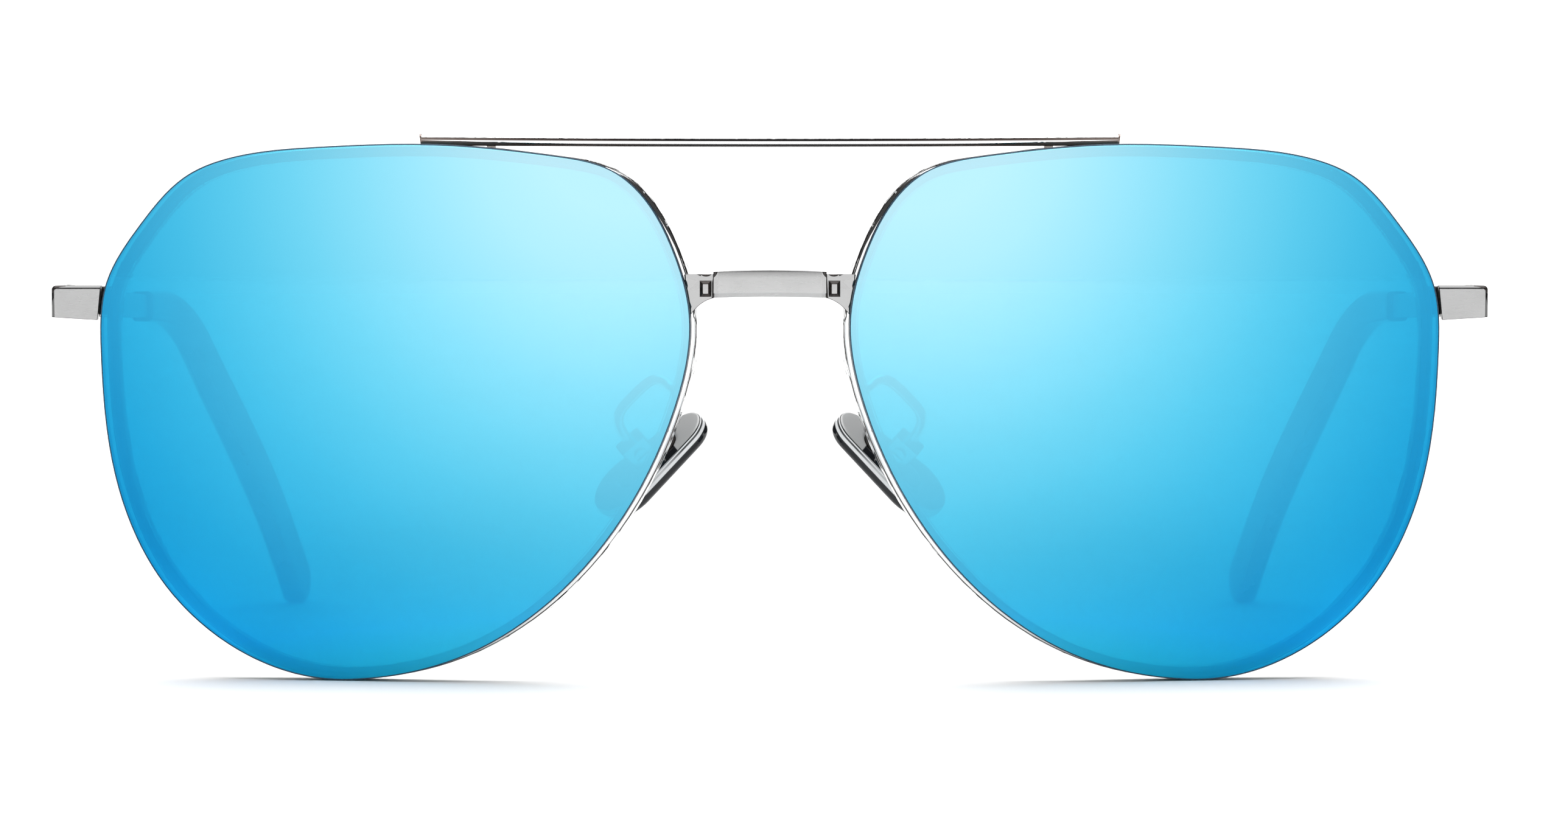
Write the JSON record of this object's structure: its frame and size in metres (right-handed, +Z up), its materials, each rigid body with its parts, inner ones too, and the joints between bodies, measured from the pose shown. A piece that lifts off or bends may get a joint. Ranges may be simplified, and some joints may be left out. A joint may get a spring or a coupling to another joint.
{
  "type": "aviator sunglasses",
  "caption": "Aviator sunglasses: mirror lenses laid over thin metal rims, brow bar, bridge, rocking nose pads and folding temples with plastic tips.",
  "frame": {"origin": "on the floor, on the plane between the two halves, midway between the front of the lenses and the back of the temple tips", "axes": "+X to the right of somebody who looks at the front, the front faces -Y and the temples run back along +Y, +Z up"},
  "size_m": [0.1494, 0.1385, 0.0567],
  "materials": {
    "polished_metal": "mirror polished silver plating",
    "satin_metal": "fine satin silver",
    "solder": "bright silver solder",
    "lens_mirror": "blue flash mirror coating, glossy",
    "hinge_metal": "satin silver",
    "screw_steel": "turned steel",
    "pad_metal": "bright silver",
    "temple_metal": "fine satin silver",
    "tip_plastic": "smooth dark acetate, semi gloss",
    "pad_silicone": "clear soft silicone, glossy"
  },
  "bodies": {
    "front": {"brow_bar": "polished_metal", "bridge": "satin_metal", "rim_left": "polished_metal", "lens_left": "lens_mirror", "brow_foot_left": "solder", "endpiece_left": "satin_metal", "front_hinge_left": "hinge_metal", "hinge_screw_left": "screw_steel", "pad_arm_left": "pad_metal", "pad_box_left": "pad_metal", "pad_screw_left": "screw_steel", "rim_right": "polished_metal", "lens_right": "lens_mirror", "brow_foot_right": "solder", "endpiece_right": "satin_metal", "front_hinge_right": "hinge_metal", "hinge_screw_right": "screw_steel", "pad_arm_right": "pad_metal", "pad_box_right": "pad_metal", "pad_screw_right": "screw_steel"},
    "temple_left": {"temple_arm_left": "temple_metal", "temple_tip_left": "tip_plastic", "temple_hinge_left": "hinge_metal"},
    "temple_right": {"temple_arm_right": "temple_metal", "temple_tip_right": "tip_plastic", "temple_hinge_right": "hinge_metal"},
    "pad_left": {"nose_pad_left": "pad_silicone", "pad_core_left": "pad_metal"},
    "pad_right": {"nose_pad_right": "pad_silicone", "pad_core_right": "pad_metal"}
  },
  "joints": [
    {"name": "temple_left_fold", "type": "hinge", "parent": "front", "child": "temple_left", "pos_m": [-0.0722, -0.0499, 0.0392], "axis": [0, 0, -1], "range_deg": [0, 85]},
    {"name": "temple_right_fold", "type": "hinge", "parent": "front", "child": "temple_right", "pos_m": [0.0722, -0.0499, 0.0392], "axis": [0, 0, 1], "range_deg": [0, 80]},
    {"name": "nose_pad_left_rock", "type": "hinge", "parent": "front", "child": "pad_left", "pos_m": [-0.01379, -0.0573, 0.02388], "axis": [0.3141, -0.8829, -0.3489], "range_deg": [-8, 8]},
    {"name": "nose_pad_right_rock", "type": "hinge", "parent": "front", "child": "pad_right", "pos_m": [0.01379, -0.0573, 0.02388], "axis": [-0.3141, -0.8829, -0.3489], "range_deg": [-8, 8]}
  ]
}
